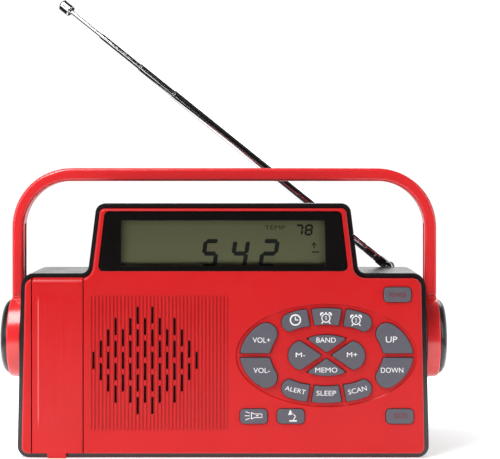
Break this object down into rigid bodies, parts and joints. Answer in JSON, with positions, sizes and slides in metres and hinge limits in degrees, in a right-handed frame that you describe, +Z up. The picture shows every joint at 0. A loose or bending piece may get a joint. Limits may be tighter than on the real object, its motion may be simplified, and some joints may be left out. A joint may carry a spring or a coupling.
{
  "type": "emergency radio",
  "caption": "Portable emergency radio with display hood, speaker grille, oval keypad, folding handle, flip-up reading lamp, hub torch, hand crank, solar panel and telescopic antenna.",
  "frame": {"origin": "centre of the flat underside", "axes": "+Z up, -Y out of the front, +X to the right when facing the front"},
  "size_m": [0.2406, 0.1287, 0.2555],
  "materials": {
    "red_plastic": "satin moulded ABS",
    "charcoal_plastic": "fine spark-eroded grain",
    "black_plastic": "satin",
    "key_plastic": "soft satin",
    "mask_black": "polished",
    "clear_window": "clear acrylic",
    "lcd_glass": "reflective display, olive",
    "diffuser": "opal",
    "silicone": "matt",
    "circuit_board": "solder mask",
    "speaker_metal": "plated",
    "felt": "black felt",
    "gear_nylon": "natural nylon",
    "torch_glass": "clear",
    "reflector": "vacuum plated",
    "chrome": "plated brass",
    "cell_wrap": "plain sleeve",
    "contact_metal": "nickel plated",
    "solar_glass": "solar cells under a clear layer"
  },
  "bodies": {
    "case": {"front_cover": "red_plastic", "left_pivot_boss": "red_plastic", "right_pivot_boss": "red_plastic", "rear_cover": "charcoal_plastic", "left_end_cap": "black_plastic", "right_end_cap": "black_plastic", "display_mask": "mask_black", "display_window": "clear_window", "lcd_panel": "lcd_glass", "lcd_backlight": "diffuser", "keypad_mat": "silicone", "rubber_feet": "silicone", "main_board": "circuit_board", "socket_board": "circuit_board", "speaker": "speaker_metal", "generator": "speaker_metal", "case_screws": "speaker_metal", "lamp_hinge_pin": "speaker_metal", "torch_led": "speaker_metal", "grille_cloth": "felt", "torch_lens": "torch_glass", "torch_reflector": "reflector", "battery_cells": "cell_wrap", "battery_contacts": "contact_metal", "solar_panel": "solar_glass"},
    "handle": {"handle": "red_plastic"},
    "reading_lamp": {"lamp_panel": "red_plastic", "lamp_led_board": "circuit_board", "lamp_lens": "diffuser"},
    "antenna_base": {"antenna_swivel": "chrome", "antenna_hinge_pin": "chrome"},
    "antenna_outer": {"antenna_tube_1": "chrome"},
    "antenna_middle": {"antenna_tube_2": "chrome"},
    "antenna_inner": {"antenna_tube_3": "chrome"},
    "antenna_end": {"antenna_rod": "chrome", "antenna_tip": "chrome"},
    "crank": {"crank_arm": "charcoal_plastic", "drive_gear": "gear_nylon"},
    "crank_grip": {"crank_knob": "black_plastic"},
    "generator_rotor": {"generator_pinion": "speaker_metal"},
    "battery_door": {"battery_door": "charcoal_plastic"},
    "socket_flap": {"jack_cover": "silicone"},
    "key_volume_up": {"key_volume_up": "key_plastic"},
    "key_volume_down": {"key_volume_down": "key_plastic"},
    "key_tune_up": {"key_tune_up": "key_plastic"},
    "key_tune_down": {"key_tune_down": "key_plastic"},
    "key_clock": {"key_clock": "key_plastic"},
    "key_alarm_2": {"key_alarm_2": "key_plastic"},
    "key_alert": {"key_alert": "key_plastic"},
    "key_scan": {"key_scan": "key_plastic"},
    "key_alarm_1": {"key_alarm_1": "key_plastic"},
    "key_sleep": {"key_sleep": "key_plastic"},
    "key_band": {"key_band": "key_plastic"},
    "key_memo": {"key_memo": "key_plastic"},
    "key_memory_down": {"key_memory_down": "key_plastic"},
    "key_memory_up": {"key_memory_up": "key_plastic"},
    "key_power": {"key_power": "key_plastic"},
    "key_sos": {"key_sos": "key_plastic"},
    "key_torch": {"key_torch": "key_plastic"},
    "key_lamp": {"key_lamp": "key_plastic"}
  },
  "joints": [
    {"name": "handle_fold", "type": "hinge", "parent": "case", "child": "handle", "pos_m": [0, 0, 0.061], "axis": [1, 0, 0], "range_deg": [-10, 120]},
    {"name": "lamp_flip", "type": "hinge", "parent": "case", "child": "reading_lamp", "pos_m": [-0.0875, -0.029, 0.092], "axis": [-1, 0, 0], "range_deg": [0, 110]},
    {"name": "antenna_turn", "type": "hinge", "parent": "case", "child": "antenna_base", "pos_m": [0.0923, 0.0265, 0.0974], "axis": [0, 0, 1], "range_deg": [-160, 18.75]},
    {"name": "antenna_tilt", "type": "hinge", "parent": "antenna_base", "child": "antenna_outer", "pos_m": [0.0923, 0.0265, 0.0974], "axis": [0.3214, 0.9469, 0], "range_deg": [-37.3, 52.7]},
    {"name": "antenna_slide_1", "type": "slide", "parent": "antenna_outer", "child": "antenna_middle", "axis": [-0.7533, 0.2557, 0.606], "range_m": [-0.026, 0.115]},
    {"name": "antenna_slide_2", "type": "slide", "parent": "antenna_middle", "child": "antenna_inner", "axis": [-0.7533, 0.2557, 0.606], "range_m": [-0.031, 0.105]},
    {"name": "antenna_slide_3", "type": "slide", "parent": "antenna_inner", "child": "antenna_end", "axis": [-0.7533, 0.2557, 0.606], "range_m": [-0.0245, 0.105]},
    {"name": "crank_turn", "type": "hinge", "parent": "case", "child": "crank", "pos_m": [-0.052, 0.027, 0.05], "axis": [0, 1, 0], "continuous": true},
    {"name": "grip_fold", "type": "hinge", "parent": "crank", "child": "crank_grip", "pos_m": [-0.025, 0.0279, 0.05], "axis": [0, 0, -1], "range_deg": [0, 90]},
    {"name": "rotor_spin", "type": "hinge", "parent": "case", "child": "generator_rotor", "pos_m": [-0.022, 0.016, 0.05], "axis": [0, 1, 0], "continuous": true},
    {"name": "battery_door_open", "type": "hinge", "parent": "case", "child": "battery_door", "pos_m": [0.04, 0.03135, 0.00945], "axis": [-1, 0, 0], "range_deg": [0, 95]},
    {"name": "socket_flap_open", "type": "hinge", "parent": "case", "child": "socket_flap", "pos_m": [0.08945, 0.03185, 0.052], "axis": [0, 0, 1], "range_deg": [0, 100]},
    {"name": "press_volume_up", "type": "slide", "parent": "case", "child": "key_volume_up", "axis": [0, 1, 0], "range_m": [0, 0.0008], "stiffness_N_per_m": 600},
    {"name": "press_volume_down", "type": "slide", "parent": "case", "child": "key_volume_down", "axis": [0, 1, 0], "range_m": [0, 0.0008], "stiffness_N_per_m": 600},
    {"name": "press_tune_up", "type": "slide", "parent": "case", "child": "key_tune_up", "axis": [0, 1, 0], "range_m": [0, 0.0008], "stiffness_N_per_m": 600},
    {"name": "press_tune_down", "type": "slide", "parent": "case", "child": "key_tune_down", "axis": [0, 1, 0], "range_m": [0, 0.0008], "stiffness_N_per_m": 600},
    {"name": "press_clock", "type": "slide", "parent": "case", "child": "key_clock", "axis": [0, 1, 0], "range_m": [0, 0.0008], "stiffness_N_per_m": 600},
    {"name": "press_alarm_2", "type": "slide", "parent": "case", "child": "key_alarm_2", "axis": [0, 1, 0], "range_m": [0, 0.0008], "stiffness_N_per_m": 600},
    {"name": "press_alert", "type": "slide", "parent": "case", "child": "key_alert", "axis": [0, 1, 0], "range_m": [0, 0.0008], "stiffness_N_per_m": 600},
    {"name": "press_scan", "type": "slide", "parent": "case", "child": "key_scan", "axis": [0, 1, 0], "range_m": [0, 0.0008], "stiffness_N_per_m": 600},
    {"name": "press_alarm_1", "type": "slide", "parent": "case", "child": "key_alarm_1", "axis": [0, 1, 0], "range_m": [0, 0.0008], "stiffness_N_per_m": 600},
    {"name": "press_sleep", "type": "slide", "parent": "case", "child": "key_sleep", "axis": [0, 1, 0], "range_m": [0, 0.0008], "stiffness_N_per_m": 600},
    {"name": "press_band", "type": "slide", "parent": "case", "child": "key_band", "axis": [0, 1, 0], "range_m": [0, 0.0008], "stiffness_N_per_m": 600},
    {"name": "press_memo", "type": "slide", "parent": "case", "child": "key_memo", "axis": [0, 1, 0], "range_m": [0, 0.0008], "stiffness_N_per_m": 600},
    {"name": "press_memory_down", "type": "slide", "parent": "case", "child": "key_memory_down", "axis": [0, 1, 0], "range_m": [0, 0.0008], "stiffness_N_per_m": 600},
    {"name": "press_memory_up", "type": "slide", "parent": "case", "child": "key_memory_up", "axis": [0, 1, 0], "range_m": [0, 0.0008], "stiffness_N_per_m": 600},
    {"name": "press_power", "type": "slide", "parent": "case", "child": "key_power", "axis": [0, 1, 0], "range_m": [0, 0.0008], "stiffness_N_per_m": 600},
    {"name": "press_sos", "type": "slide", "parent": "case", "child": "key_sos", "axis": [0, 1, 0], "range_m": [0, 0.0008], "stiffness_N_per_m": 600},
    {"name": "press_torch", "type": "slide", "parent": "case", "child": "key_torch", "axis": [0, 1, 0], "range_m": [0, 0.0008], "stiffness_N_per_m": 600},
    {"name": "press_lamp", "type": "slide", "parent": "case", "child": "key_lamp", "axis": [0, 1, 0], "range_m": [0, 0.0008], "stiffness_N_per_m": 600}
  ],
  "couplings": [
    {"joint": "rotor_spin", "follows": "crank_turn", "ratio": -4}
  ]
}
